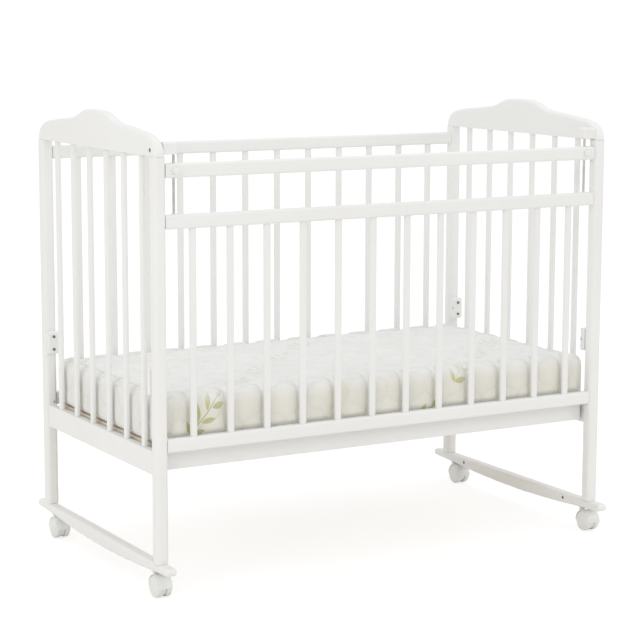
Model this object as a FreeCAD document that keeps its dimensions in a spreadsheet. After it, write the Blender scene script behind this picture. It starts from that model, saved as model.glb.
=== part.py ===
import FreeCAD, Part
import math
import os

# Baby crib with a sliding drop rail, curved rockers and four twin-wheel casters.
# Millimetres. X runs along the crib, Y runs from the front (-Y) to the rear (+Y), Z is up.
# The origin is on the floor, under the middle of the crib.

doc = FreeCAD.newDocument("BabyCrib")

DIMENSIONS = [
    # frame
    ("post_x", 605.0), ("post_y", 323.0), ("post_width", 30.0), ("post_depth", 32.0),
    ("post_foot_z", 78.0), ("post_top_z", 1000.0), ("post_corner", 10.0), ("post_rim", 1.2),
    ("rail_height", 32.0), ("rail_thick", 22.0), ("rail_length", 1179.8), ("rail_edge", 5.5),
    ("bottom_rail_z", 332.0), ("middle_rail_z", 838.0), ("top_rail_z", 952.0),
    ("drop_rail_length", 1178.4),
    ("slat_width", 16.0), ("slat_thick", 11.0), ("slat_edge", 4.0), ("slat_tenon", 8.0),
    ("side_slat_pitch", 94.5), ("end_slat_pitch", 97.3), ("mortise_play", 0.3),
    ("board_z", 279.0), ("board_height", 55.0), ("board_thick", 20.0), ("board_length", 613.8),
    ("crest_thick", 25.0), ("crest_z", 1000.2), ("crest_edge", 8.0),
    ("rocker_thick", 26.0), ("rocker_edge", 5.0),
    # drop rail hardware
    ("rod_x", 565.0), ("rod_diameter", 6.0), ("rod_foot_z", 846.0), ("rod_top_z", 1019.0),
    ("rod_neck", 4.0), ("latch_z", 968.0),
    ("holder_length", 34.5), ("holder_depth", 26.0), ("holder_height", 27.0),
    ("knob_diameter", 16.0), ("knob_height", 9.0), ("pin_diameter", 5.0),
    # base and mattress
    ("base_length", 1177.0), ("base_half_width", 300.0), ("base_rail_thick", 20.0),
    ("base_z", 286.0), ("base_rail_height", 45.0),
    ("base_slat_width", 68.0), ("base_slat_thick", 7.0), ("base_slat_pitch", 138.6),
    ("mattress_length", 1194.0), ("mattress_width", 600.0), ("mattress_thick", 117.0),
    ("mattress_z", 338.4), ("mattress_corner", 34.0), ("mattress_edge", 25.0),
    ("shelf_pin_y", 294.5), ("shelf_pin_z", 314.0), ("shelf_pin_diameter", 6.0),
    # support blocks of the upper level
    ("block_width", 29.0), ("block_thick", 17.0), ("block_height", 56.0), ("block_z", 466.0),
    ("block_screw_spacing", 32.0),
    # casters
    ("stem_y", 297.0), ("trail", 24.0), ("axle_z", 25.0), ("wheel_radius", 25.0),
    ("wheel_inner_x", 5.5), ("wheel_outer_x", 19.6), ("axle_diameter", 6.0),
    ("hood_radius", 27.6), ("hood_bore", 26.0), ("hood_width", 35.0), ("web_width", 9.0),
    ("neck_diameter", 15.0), ("neck_top_z", 54.2), ("stem_diameter", 7.8), ("stem_top_z", 75.0),
    ("socket_diameter", 11.0), ("socket_top_z", 76.5), ("flange_diameter", 18.0), ("flange_z", 54.8),
]
D = dict(DIMENSIONS)
SHEET = doc.addObject("Spreadsheet::Sheet", "Dims")
for row, (name, value) in enumerate(DIMENSIONS, 1):
    SHEET.set("A%d" % row, name)
    SHEET.set("B%d" % row, str(value))
    SHEET.setAlias("B%d" % row, name)
doc.recompute()

V = FreeCAD.Vector
X, Y, Z = V(1, 0, 0), V(0, 1, 0), V(0, 0, 1)
LEFT, RIGHT, FRONT, REAR = -1, 1, -1, 1
ENDS = (("left", LEFT), ("right", RIGHT))
SIDES = (("front", FRONT), ("rear", REAR))
FINISHED = []


def bind(obj, **expressions):
    """Tie properties to spreadsheet expressions; x, y and z stand for the position."""
    for prop, text in expressions.items():
        path = "Placement.Base." + prop if prop in ("x", "y", "z") else prop
        obj.setExpression(path, str(text))
    return obj


def finish(obj, label):
    """Give the finished sub-part its node name."""
    obj.Label = label
    FINISHED.append(obj)
    return obj


def box(name, length, width, height, x, y, z):
    """Box given by its size and its centre in X and Y; z is its underside."""
    obj = doc.addObject("Part::Box", name)
    bind(obj, Length=length, Width=width, Height=height,
         x="(%s) - (%s) / 2" % (x, length), y="(%s) - (%s) / 2" % (y, width), z=z)
    return obj


def cylinder(name, diameter, height, x, y, z, axis=Z):
    """Cylinder that starts at a point and runs along an axis."""
    obj = doc.addObject("Part::Cylinder", name)
    obj.Placement = FreeCAD.Placement(V(0, 0, 0), FreeCAD.Rotation(Z, axis))
    bind(obj, Radius="(%s) / 2" % diameter, Height=height, x=x, y=y, z=z)
    return obj


def group(name, members):
    """Several separate solids kept as one object."""
    obj = doc.addObject("Part::Compound", name)
    obj.Links = members
    return obj


def cut(name, base, tools):
    """Base with every tool removed from it."""
    obj = doc.addObject("Part::Cut", name)
    obj.Base = base
    obj.Tool = tools[0] if len(tools) == 1 else group(name + "_tools", tools)
    return obj


def fuse(name, members):
    """One solid made of overlapping members."""
    obj = doc.addObject("Part::MultiFuse", name)
    obj.Shapes = members
    return obj


def round_edges(name, base, radius, wanted):
    """Round the edges for which wanted(edge) holds."""
    base.recompute(True)
    obj = doc.addObject("Part::Fillet", name)
    obj.Base = base
    obj.Edges = [(i, radius, radius) for i, edge in enumerate(base.Shape.Edges, 1) if wanted(edge)]
    return obj


def along(axis):
    """Test for straight edges parallel to an axis."""
    def test(edge):
        line = edge.Curve
        return isinstance(line, Part.Line) and abs(abs(line.Direction.dot(axis)) - 1) < 1e-6
    return test


def origin_plane(body, role):
    return [f for f in body.Origin.OriginFeatures if f.Role == role][0]


def sketch_body(name, role, geometry):
    """PartDesign body with one sketch of ready geometry on an origin plane."""
    body = doc.addObject("PartDesign::Body", name)
    sketch = body.newObject("Sketcher::SketchObject", name + "_sketch")
    sketch.AttachmentSupport = (origin_plane(body, role), [""])
    sketch.MapMode = "FlatFace"
    sketch.addGeometry(geometry, False)
    return body, sketch


def pad_body(name, role, geometry, length):
    """Closed outline padded by the same amount to both sides of its plane."""
    body, sketch = sketch_body(name, role, geometry)
    pad = body.newObject("PartDesign::Pad", name + "_pad")
    pad.Profile = sketch
    pad.Midplane = True
    bind(pad, Length=length)
    doc.recompute()
    return body, pad


def turned_body(name, points):
    """Profile of (along X, radius) points turned about the X axis."""
    body, sketch = sketch_body(name, "XY_Plane", polygon(points))
    turn = body.newObject("PartDesign::Revolution", name + "_turn")
    turn.Profile = sketch
    turn.ReferenceAxis = (sketch, ["H_Axis"])
    turn.Angle = 360
    doc.recompute()
    return body


def polygon(points):
    vectors = [V(a, b, 0) for a, b in points]
    return [Part.LineSegment(p, q) for p, q in zip(vectors, vectors[1:] + vectors[:1])]


def spots(count, pitch):
    """Positions of evenly spaced members, centred on zero, as expressions."""
    return ["%s * Dims.%s" % (i - (count - 1) / 2.0, pitch) for i in range(count)]


SIDE_SPOTS = spots(12, "side_slat_pitch")
END_SPOTS = spots(6, "end_slat_pitch")


# ---------------------------------------------------------------- slats and their mortises
def slat(name, x, y, foot, top, wide_along_x):
    wide, thin = "Dims.slat_width", "Dims.slat_thick"
    length, width = (wide, thin) if wide_along_x else (thin, wide)
    bar = box(name + "_blank", length, width, "(%s) - (%s)" % (top, foot), x, y, foot)
    return round_edges(name, bar, D["slat_edge"], along(Z))


def mortises(name, places, z, wide_along_x):
    wide = "Dims.slat_width + Dims.mortise_play"
    thin = "Dims.slat_thick + Dims.mortise_play"
    depth = "Dims.slat_tenon + Dims.mortise_play"
    length, width = (wide, thin) if wide_along_x else (thin, wide)
    return [box("%s_%d" % (name, i), length, width, depth, x, y, z) for i, (x, y) in enumerate(places)]


def slat_row(label, places, foot, top, wide_along_x):
    parts = [slat("%s_%d" % (label, i), x, y, foot, top, wide_along_x) for i, (x, y) in enumerate(places)]
    return finish(group(label + "_row", parts), label)


FOOT_IN_RAIL = "Dims.bottom_rail_z + Dims.rail_height - Dims.slat_tenon"
for side, sy in SIDES:
    top = "Dims.middle_rail_z" if side == "front" else "Dims.top_rail_z"
    row = [(x, "%d * Dims.post_y" % sy) for x in SIDE_SPOTS]
    slat_row(side + "_slats", row, FOOT_IN_RAIL, top + " + Dims.slat_tenon", True)
for end, sx in ENDS:
    row = [("%d * Dims.post_x" % sx, y) for y in END_SPOTS]
    slat_row(end + "_end_slats", row, "Dims.board_z + Dims.board_height - Dims.slat_tenon",
             "Dims.crest_z + Dims.slat_tenon", False)


# ---------------------------------------------------------------- dowels that hold the frame
DOWEL, BOARD_DOWEL = 8.0, 6.0
DOWEL_HALF = 15.0
BOARD_DOWEL_Z = (290.0, 326.0)
RAIL_ENDS = {"front": ("middle_rail_z", "bottom_rail_z"), "rear": ("top_rail_z", "bottom_rail_z")}


def crossing_dowel(name, grow, sx, y, z):
    """Dowel along X across the joint of a rail and a post."""
    half = DOWEL_HALF + grow
    inner = "%d * (Dims.post_x - Dims.post_width / 2 - %s)" % (sx, half)
    return cylinder(name, DOWEL + 2 * grow, 2 * half, inner, y, z, V(sx, 0, 0))


def board_dowel(name, grow, sx, sy, z):
    """Dowel along Y across the joint of an end board and a post."""
    half = DOWEL_HALF + grow
    inner = "%d * (Dims.post_y - Dims.post_depth / 2 - %s)" % (sy, half)
    return cylinder(name, BOARD_DOWEL + 2 * grow, 2 * half, "%d * Dims.post_x" % sx, inner, z, V(0, sy, 0))


def standing_dowel(name, grow, sx, sy, middle, half):
    """Dowel along Z through the middle of a post's end."""
    return cylinder(name, DOWEL + 2 * grow, 2 * (half + grow), "%d * Dims.post_x" % sx,
                    "%d * Dims.post_y" % sy, "(%s) - %s" % (middle, half + grow))


def rail_middle(level):
    return "Dims.%s + Dims.rail_height / 2" % level


PLAY = 0.05
dowels = []
for end, sx in ENDS:
    for side, sy in SIDES:
        tag = "dowel_%s_%s" % (end, side)
        y = "%d * Dims.post_y" % sy
        for level in RAIL_ENDS[side]:
            dowels.append(crossing_dowel("%s_%s" % (tag, level), 0, sx, y, rail_middle(level)))
        for i, z in enumerate(BOARD_DOWEL_Z):
            dowels.append(board_dowel("%s_board_%d" % (tag, i), 0, sx, sy, z))
        dowels.append(standing_dowel(tag + "_crest", 0, sx, sy, "Dims.post_top_z", 14.0))
        dowels.append(standing_dowel(tag + "_rocker", 0, sx, sy, "Dims.post_foot_z", 12.0))
finish(group("dowel_group", dowels), "frame_dowels")


# ---------------------------------------------------------------- posts
SCREW_SHANK, SCREW_HEAD, SCREW_DEPTH = 3.6, 6.8, 16.0
SPARE_HOLE_Z = 341.0


def block_screw_levels():
    middle = D["block_z"] + D["block_height"] / 2
    return [middle - D["block_screw_spacing"] / 2, middle + D["block_screw_spacing"] / 2]


for end, sx in ENDS:
    for side, sy in SIDES:
        label = "%s_%s_post" % (end, side)
        x, y = "%d * Dims.post_x" % sx, "%d * Dims.post_y" % sy
        blank = box(label + "_blank", "Dims.post_width", "Dims.post_depth",
                    "Dims.post_top_z - Dims.post_foot_z", x, y, "Dims.post_foot_z")
        column = round_edges(label + "_column", blank, D["post_corner"], along(Z))
        rounded = round_edges(label + "_rounded", column, D["post_rim"],
                              lambda e: e.BoundBox.ZLength < 0.01)
        tools = [crossing_dowel("%s_hole_%s" % (label, level), PLAY, sx, y, rail_middle(level))
                 for level in RAIL_ENDS[side]]
        tools += [board_dowel("%s_board_hole_%d" % (label, i), PLAY, sx, sy, z)
                  for i, z in enumerate(BOARD_DOWEL_Z)]
        tools.append(standing_dowel(label + "_crest_hole", PLAY, sx, sy, "Dims.post_top_z", 14.0))
        tools.append(standing_dowel(label + "_rocker_hole", PLAY, sx, sy, "Dims.post_foot_z", 12.0))
        face = "%d * (Dims.post_y - Dims.post_depth / 2)" % sy
        for i, z in enumerate(block_screw_levels()):
            tools.append(cylinder("%s_pilot_%d" % (label, i), SCREW_SHANK + 2 * PLAY, SCREW_DEPTH + PLAY,
                                  x, face, z, V(0, sy, 0)))
        tools.append(cylinder(label + "_spare_hole", 5.0, 9.0, "%d * (Dims.post_x - 6)" % sx, face,
                              SPARE_HOLE_Z, V(0, sy, 0)))
        finish(cut(label + "_cut", rounded, tools), label)


# ---------------------------------------------------------------- long rails
def rail(label, length, y, z):
    blank = box(label + "_blank", length, "Dims.rail_thick", "Dims.rail_height", "0", y, z)
    return round_edges(label + "_rounded", blank, D["rail_edge"], along(X))


def rail_tools(label, sy, level, slat_top, slat_foot):
    y = "%d * Dims.post_y" % sy
    places = [(x, y) for x in SIDE_SPOTS]
    tools = [crossing_dowel("%s_hole_%s" % (label, end), PLAY, sx, y, rail_middle(level))
             for end, sx in ENDS]
    if slat_foot:
        z = "Dims.%s + Dims.rail_height - Dims.slat_tenon - Dims.mortise_play" % level
        tools += mortises(label + "_foot_mortise", places, z, True)
    if slat_top:
        tools += mortises(label + "_top_mortise", places, "Dims.%s" % level, True)
    return tools


for label, sy, level, slat_top, slat_foot in (
        ("front_bottom_rail", FRONT, "bottom_rail_z", False, True),
        ("rear_bottom_rail", REAR, "bottom_rail_z", False, True),
        ("rear_top_rail", REAR, "top_rail_z", True, False)):
    bar = rail(label, "Dims.rail_length", "%d * Dims.post_y" % sy, "Dims." + level)
    finish(cut(label + "_cut", bar, rail_tools(label, sy, level, slat_top, slat_foot)), label)

FRONT_Y = "-Dims.post_y"
label = "front_middle_rail"
bar = rail(label, "Dims.rail_length", FRONT_Y, "Dims.middle_rail_z")
tools = rail_tools(label, FRONT, "middle_rail_z", True, False)
for end, sx in ENDS:
    tools.append(cylinder("%s_rod_hole_%s" % (label, end), D["rod_diameter"] + 2 * PLAY, 40,
                          "%d * Dims.rod_x" % sx, FRONT_Y, "Dims.rod_foot_z"))
finish(cut(label + "_cut", bar, tools), label)


# ---------------------------------------------------------------- sliding drop rail
BUSH_OUT, BUSH_IN, BUSH_LENGTH, BUSH_FLANGE, FLANGE_THICK = 10.0, 6.9, 11.0, 14.0, 1.2
label = "drop_rail"
bar = rail(label, "Dims.drop_rail_length", FRONT_Y, "Dims.top_rail_z")
tools = []
bushes = []
for end, sx in ENDS:
    x = "%d * Dims.rod_x" % sx
    tools.append(cylinder("%s_bush_hole_%s" % (label, end), BUSH_OUT + 2 * PLAY, 60, x, FRONT_Y,
                          "Dims.top_rail_z - 10"))
    tools.append(cylinder("%s_pin_hole_%s" % (label, end), "Dims.pin_diameter + 0.8", 14, x,
                          "-Dims.post_y - Dims.rail_thick / 2 - 1", "Dims.latch_z", Y))
    for place, foot, flange in (
            ("lower", "Dims.top_rail_z", "Dims.top_rail_z - %s" % FLANGE_THICK),
            ("upper", "Dims.top_rail_z + Dims.rail_height - %s" % BUSH_LENGTH,
             "Dims.top_rail_z + Dims.rail_height")):
        name = "bush_%s_%s" % (end, place)
        tube = fuse(name + "_outer", [
            cylinder(name + "_tube", BUSH_OUT, BUSH_LENGTH, x, FRONT_Y, foot),
            cylinder(name + "_flange", BUSH_FLANGE, FLANGE_THICK, x, FRONT_Y, flange)])
        bore = cylinder(name + "_bore", BUSH_IN, 60, x, FRONT_Y, "Dims.top_rail_z - 10")
        bushes.append(cut(name, tube, [bore]))
finish(cut(label + "_cut", bar, tools), label)
finish(group("bush_group", bushes), "drop_rail_bushings")

for end, sx in ENDS:
    x = "%d * Dims.rod_x" % sx
    rod = cylinder(end + "_rod_bar", "Dims.rod_diameter", "Dims.rod_top_z - Dims.rod_foot_z", x, FRONT_Y,
                   "Dims.rod_foot_z")
    sleeve = cylinder(end + "_neck_sleeve", 12, 6, x, FRONT_Y, "Dims.latch_z - 3")
    core = cylinder(end + "_neck_core", "Dims.rod_neck", 6, x, FRONT_Y, "Dims.latch_z - 3")
    neck = cut(end + "_neck", sleeve, [core])
    finish(cut(end + "_rod_cut", rod, [neck]), end + "_guide_rod")

buffers = []
for end, sx in ENDS:
    x = "%d * Dims.rod_x" % sx
    ring = cylinder(end + "_buffer_ring", 13, 2, x, FRONT_Y, "Dims.middle_rail_z + Dims.rail_height")
    bore = cylinder(end + "_buffer_bore", D["rod_diameter"] + 2 * PLAY, 6, x, FRONT_Y,
                    "Dims.middle_rail_z + Dims.rail_height - 2")
    buffers.append(cut(end + "_buffer", ring, [bore]))
finish(group("buffer_group", buffers), "rod_buffers")

CREST_INNER = "(Dims.post_x - Dims.crest_thick / 2)"
HOLDER_Z = 1004.0
HOLDER_BOLT_Y, HOLDER_BOLT_Z = -312.5, 1013.5
HOLDER_BOLT, HOLDER_HEAD, HEAD_SINK = 6.0, 10.0, 6.0
for end, sx in ENDS:
    label = end + "_rod_holder"
    blank = box(label + "_blank", "Dims.holder_length", "Dims.holder_depth", "Dims.holder_height",
                "%d * (%s - Dims.holder_length / 2)" % (sx, CREST_INNER), "-318", HOLDER_Z)
    inner_x = sx * (D["post_x"] - D["crest_thick"] / 2 - D["holder_length"])
    rounded = round_edges(label + "_rounded", blank, 5.0,
                          lambda e, s=inner_x: all(abs(v.X - s) < 0.01 for v in e.Vertexes)
                          or along(X)(e) and e.BoundBox.ZMin > HOLDER_Z + 1)
    tools = [cylinder(label + "_rod_hole", D["rod_diameter"] + 2 * PLAY,
                      "Dims.rod_top_z - %s" % (HOLDER_Z - 1), "%d * Dims.rod_x" % sx, FRONT_Y, HOLDER_Z - 1),
             cylinder(label + "_bolt_hole", HOLDER_BOLT + 2 * PLAY, 18,
                      "%d * (%s + 1)" % (sx, CREST_INNER), HOLDER_BOLT_Y, HOLDER_BOLT_Z, V(-sx, 0, 0))]
    finish(cut(label + "_cut", rounded, tools), label)

bolts = []
for end, sx in ENDS:
    outer = D["post_x"] + D["crest_thick"] / 2
    shank = cylinder(end + "_bolt_shank", HOLDER_BOLT, 36, sx * (outer - HEAD_SINK), HOLDER_BOLT_Y,
                     HOLDER_BOLT_Z, V(-sx, 0, 0))
    head = cylinder(end + "_bolt_head", HOLDER_HEAD, 4, sx * (outer - 2), HOLDER_BOLT_Y, HOLDER_BOLT_Z,
                    V(-sx, 0, 0))
    solid = fuse(end + "_bolt_solid", [shank, head])
    recess = cylinder(end + "_bolt_recess", 4.5, 2.5, sx * (outer - 1), HOLDER_BOLT_Y, HOLDER_BOLT_Z,
                      V(-sx, 0, 0))
    bolts.append(cut(end + "_holder_bolt", solid, [recess]))
finish(group("holder_bolt_group", bolts), "rod_holder_bolts")

KNOB = [(0.0, 0.0), (0.0, 7.0), (1.0, 8.0), (6.0, 8.0), (8.2, 6.4), (9.0, 4.0), (9.0, 0.0)]
PIN_TIP = 7.7
for end, sx in ENDS:
    label = end + "_latch_knob"
    pin = D["pin_diameter"] / 2
    profile = [(-PIN_TIP, 0.0), (-PIN_TIP, pin - 0.5), (0.5 - PIN_TIP, pin), (0.3, pin)]
    profile += [(a + 0.3, r) for a, r in KNOB[1:]]
    body = turned_body(label + "_body", profile)
    body.Placement = FreeCAD.Placement(V(0, 0, 0), FreeCAD.Rotation(X, V(0, -1, 0)))
    bind(body, x="%d * Dims.rod_x" % sx, y="-Dims.post_y - Dims.rail_thick / 2", z="Dims.latch_z")
    finish(body, label)


# ---------------------------------------------------------------- ends: crest, board, rocker
CREST_HALF, CREST_TOP = 340.0, 1088.0
CREST_CURVE = [(0, 88.0), (38, 87.6), (62, 84.6), (84, 78.0), (106, 70.0), (132, 64.2), (165, 60.8),
               (205, 57.2), (250, 52.6), (282, 48.6), (304, 43.6), (321, 35.6), (332, 25.0), (338, 13.0),
               (340, 0.0)]


def crest_outline():
    """Straight underside, level crown and softly stepped shoulders; points are (Y, height)."""
    right = [V(y, h, 0) for y, h in CREST_CURVE]
    left = [V(-y, h, 0) for y, h in reversed(CREST_CURVE)]
    curve = Part.BSplineCurve()
    curve.interpolate(left + right[1:])
    return [curve, Part.LineSegment(V(CREST_HALF, 0, 0), V(-CREST_HALF, 0, 0))]


def face_rim(thickness):
    """Test for the curved rims of a plate that stands across X."""
    def test(edge):
        box_ = edge.BoundBox
        return box_.XLength < 0.01 and abs(abs(box_.XMin) - thickness / 2) < 0.01
    return test


for end, sx in ENDS:
    label = end + "_crest_board"
    body, pad = pad_body(label + "_body", "YZ_Plane", crest_outline(), "Dims.crest_thick")
    rims = ["Edge%d" % i for i, e in enumerate(pad.Shape.Edges, 1)
            if face_rim(D["crest_thick"])(e) and e.BoundBox.ZLength > 1]
    fillet = body.newObject("PartDesign::Fillet", label + "_rims")
    fillet.Base = (pad, rims)
    bind(fillet, Radius="Dims.crest_edge")
    bind(body, x="%d * Dims.post_x" % sx, z="Dims.crest_z")
    tools = mortises(label + "_mortise", [("%d * Dims.post_x" % sx, y) for y in END_SPOTS],
                     "Dims.crest_z", False)
    tools += [standing_dowel("%s_%s_hole" % (label, side), PLAY, sx, sy, "Dims.post_top_z", 14.0)
              for side, sy in SIDES]
    outer = D["post_x"] + D["crest_thick"] / 2
    tools.append(cylinder(label + "_bolt_hole", HOLDER_BOLT + 2 * PLAY, 40, sx * (outer + 1), HOLDER_BOLT_Y,
                          HOLDER_BOLT_Z, V(-sx, 0, 0)))
    tools.append(cylinder(label + "_bolt_sink", HOLDER_HEAD + 0.6, HEAD_SINK + 1, sx * (outer + 1),
                          HOLDER_BOLT_Y, HOLDER_BOLT_Z, V(-sx, 0, 0)))
    finish(cut(label + "_cut", body, tools), label)

for end, sx in ENDS:
    label = end + "_end_board"
    blank = box(label + "_blank", "Dims.board_thick", "Dims.board_length", "Dims.board_height",
                "%d * Dims.post_x" % sx, "0", "Dims.board_z")
    rounded = round_edges(label + "_rounded", blank, 3.0, along(Y))
    tools = mortises(label + "_mortise", [("%d * Dims.post_x" % sx, y) for y in END_SPOTS],
                     "Dims.board_z + Dims.board_height - Dims.slat_tenon - Dims.mortise_play", False)
    for side, sy in SIDES:
        tools += [board_dowel("%s_%s_hole_%d" % (label, side, i), PLAY, sx, sy, z)
                  for i, z in enumerate(BOARD_DOWEL_Z)]
        tools.append(cylinder("%s_%s_pin_hole" % (label, side), D["shelf_pin_diameter"] + 2 * PLAY, 14.1,
                              "%d * (Dims.post_x - Dims.board_thick / 2 - 1)" % sx,
                              "%d * Dims.shelf_pin_y" % sy, "Dims.shelf_pin_z", V(sx, 0, 0)))
    finish(cut(label + "_cut", rounded, tools), label)

ROCKER_TOP, ROCKER_LOW, ROCKER_RADIUS = 77.9, 44.5, 3750.0
CURVE_Y, TIP_Y, TIP_Z = 300.0, 374.0, 60.0


def rocker_outline():
    """Level top, curved underside and rounded tips; points are (Y, Z)."""
    curve_end = ROCKER_LOW + ROCKER_RADIUS - math.sqrt(ROCKER_RADIUS ** 2 - CURVE_Y ** 2)
    middle, reach = (ROCKER_TOP + TIP_Z) / 2, TIP_Y + (ROCKER_TOP - TIP_Z) / 2
    return [
        Part.LineSegment(V(-TIP_Y, ROCKER_TOP, 0), V(TIP_Y, ROCKER_TOP, 0)),
        Part.Arc(V(TIP_Y, ROCKER_TOP, 0), V(reach, middle, 0), V(TIP_Y, TIP_Z, 0)),
        Part.LineSegment(V(TIP_Y, TIP_Z, 0), V(CURVE_Y, curve_end, 0)),
        Part.Arc(V(CURVE_Y, curve_end, 0), V(0, ROCKER_LOW, 0), V(-CURVE_Y, curve_end, 0)),
        Part.LineSegment(V(-CURVE_Y, curve_end, 0), V(-TIP_Y, TIP_Z, 0)),
        Part.Arc(V(-TIP_Y, TIP_Z, 0), V(-reach, middle, 0), V(-TIP_Y, ROCKER_TOP, 0)),
    ]


INSERT_Y, INSERT_Z, INSERT_DIAMETER, INSERT_DEPTH = 230.0, 66.0, 8.0, 12.0
for end, sx in ENDS:
    label = end + "_rocker"
    body, pad = pad_body(label + "_body", "YZ_Plane", rocker_outline(), "Dims.rocker_thick")
    rims = ["Edge%d" % i for i, e in enumerate(pad.Shape.Edges, 1) if face_rim(D["rocker_thick"])(e)]
    fillet = body.newObject("PartDesign::Fillet", label + "_rims")
    fillet.Base = (pad, rims)
    bind(fillet, Radius="Dims.rocker_edge")
    bind(body, x="%d * Dims.post_x" % sx)
    tools = []
    for side, sy in SIDES:
        x, y = "%d * Dims.post_x" % sx, "%d * Dims.stem_y" % sy
        tools.append(standing_dowel("%s_%s_hole" % (label, side), PLAY, sx, sy, "Dims.post_foot_z", 12.0))
        tools.append(cylinder("%s_%s_socket_hole" % (label, side), D["socket_diameter"] + 2 * PLAY,
                              "Dims.socket_top_z + %s - 40" % PLAY, x, y, 40))
        tools.append(cylinder("%s_%s_flange_seat" % (label, side), "Dims.flange_diameter + 0.6", 16.3,
                              x, y, 40))
        tools.append(cylinder("%s_%s_insert_hole" % (label, side), INSERT_DIAMETER + 2 * PLAY,
                              INSERT_DEPTH + 1, "%d * (Dims.post_x - Dims.rocker_thick / 2 - 1)" % sx,
                              sy * INSERT_Y, INSERT_Z, V(sx, 0, 0)))
    finish(cut(label + "_cut", body, tools), label)

inserts = []
for end, sx in ENDS:
    for side, sy in SIDES:
        name = "insert_%s_%s" % (end, side)
        start = "%d * (Dims.post_x - Dims.rocker_thick / 2 + 0.3)" % sx
        sleeve = cylinder(name + "_sleeve", INSERT_DIAMETER, INSERT_DEPTH - 0.4, start,
                          sy * INSERT_Y, INSERT_Z, V(sx, 0, 0))
        bore = cylinder(name + "_bore", 5.0, 10.0,
                        "%d * (Dims.post_x - Dims.rocker_thick / 2 - 1)" % sx,
                        sy * INSERT_Y, INSERT_Z, V(sx, 0, 0))
        inserts.append(cut(name, sleeve, [bore]))
finish(group("insert_group", inserts), "rocker_inserts")


# ---------------------------------------------------------------- support blocks and shelf pins
blocks = []
screws = []
for end, sx in ENDS:
    for side, sy in SIDES:
        name = "block_%s_%s" % (end, side)
        x = "%d * Dims.post_x" % sx
        blank = box(name + "_blank", "Dims.block_width", "Dims.block_thick", "Dims.block_height", x,
                    "%d * (Dims.post_y - Dims.post_depth / 2 - Dims.block_thick / 2 - 0.1)" % sy,
                    "Dims.block_z")
        face_y = sy * (D["post_y"] - D["post_depth"] / 2 - D["block_thick"] - 0.1)
        rounded = round_edges(name + "_rounded", blank, 4.0,
                              lambda e, f=face_y: all(abs(v.Y - f) < 0.01 for v in e.Vertexes))
        tools = []
        for i, z in enumerate(block_screw_levels()):
            inward = V(0, sy, 0)
            tools.append(cylinder("%s_hole_%d" % (name, i), SCREW_SHANK + 0.4, 30, x, face_y - sy, z,
                                  inward))
            shank = cylinder("%s_shank_%d" % (name, i), SCREW_SHANK, D["block_thick"] + SCREW_DEPTH - 1,
                             x, face_y, z, inward)
            head = cylinder("%s_head_%d" % (name, i), SCREW_HEAD, 2.4, x, face_y - 2.4 * sy, z, inward)
            slot = cylinder("%s_drive_%d" % (name, i), 3.6, 1.4, x, face_y - 2.6 * sy, z, inward)
            solid = fuse("%s_screw_solid_%d" % (name, i), [shank, head])
            screws.append(cut("%s_screw_%d" % (name, i), solid, [slot]))
        tools.append(cylinder(name + "_pin_hole", D["shelf_pin_diameter"] + 0.3, 15,
                              "%d * (Dims.post_x - Dims.block_width / 2 - 1)" % sx,
                              "%d * Dims.shelf_pin_y" % sy, "Dims.block_z + Dims.block_height / 2",
                              V(sx, 0, 0)))
        blocks.append(cut(name, rounded, tools))
finish(group("block_group", blocks), "upper_support_blocks")
finish(group("screw_group", screws), "block_screws")

pins = []
for end, sx in ENDS:
    for side, sy in SIDES:
        name = "shelf_pin_%s_%s" % (end, side)
        pins.append(cylinder(name, "Dims.shelf_pin_diameter", 30,
                             "%d * (Dims.post_x - Dims.board_thick / 2 - 17)" % sx,
                             "%d * Dims.shelf_pin_y" % sy, "Dims.shelf_pin_z", V(sx, 0, 0)))
finish(group("pin_group", pins), "shelf_pins")


# ---------------------------------------------------------------- base and mattress
BASE_TOP = "Dims.base_z + Dims.base_rail_height"
for side, sy in SIDES:
    label = "base_%s_rail" % side
    blank = box(label + "_blank", "Dims.base_length", "Dims.base_rail_thick", "Dims.base_rail_height", "0",
                "%d * (Dims.base_half_width - Dims.base_rail_thick / 2)" % sy, "Dims.base_z")
    rounded = round_edges(label + "_rounded", blank, 2.5, along(X))
    tools = []
    for end, sx in ENDS:
        tools.append(box("%s_notch_%s" % (label, end), "26", "Dims.shelf_pin_diameter + 1.4",
                         "Dims.shelf_pin_z - Dims.base_z + Dims.shelf_pin_diameter / 2 + 5.3",
                         "%d * Dims.base_length / 2" % sx, "%d * Dims.shelf_pin_y" % sy,
                         "Dims.base_z - 5"))
    finish(cut(label + "_cut", rounded, tools), label)

ends = []
for end, sx in ENDS:
    blank = box("base_%s_end_blank" % end, "Dims.base_rail_thick",
                "2 * (Dims.base_half_width - Dims.base_rail_thick) - 0.2", "Dims.base_rail_height",
                "%d * (Dims.base_length - Dims.base_rail_thick) / 2" % sx, "0", "Dims.base_z")
    ends.append(round_edges("base_%s_end" % end, blank, 2.0, along(Y)))
finish(group("base_end_group", ends), "base_end_rails")

planks = []
for i, x in enumerate(spots(9, "base_slat_pitch")):
    blank = box("base_slat_blank_%d" % i, "Dims.base_slat_width", "2 * Dims.base_half_width - 6",
                "Dims.base_slat_thick", x, "0", BASE_TOP)
    planks.append(round_edges("base_slat_%d" % i, blank, 2.0,
                              lambda e: along(Y)(e) and e.BoundBox.ZMin > 334))
finish(group("base_slat_group", planks), "base_slats")


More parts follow.
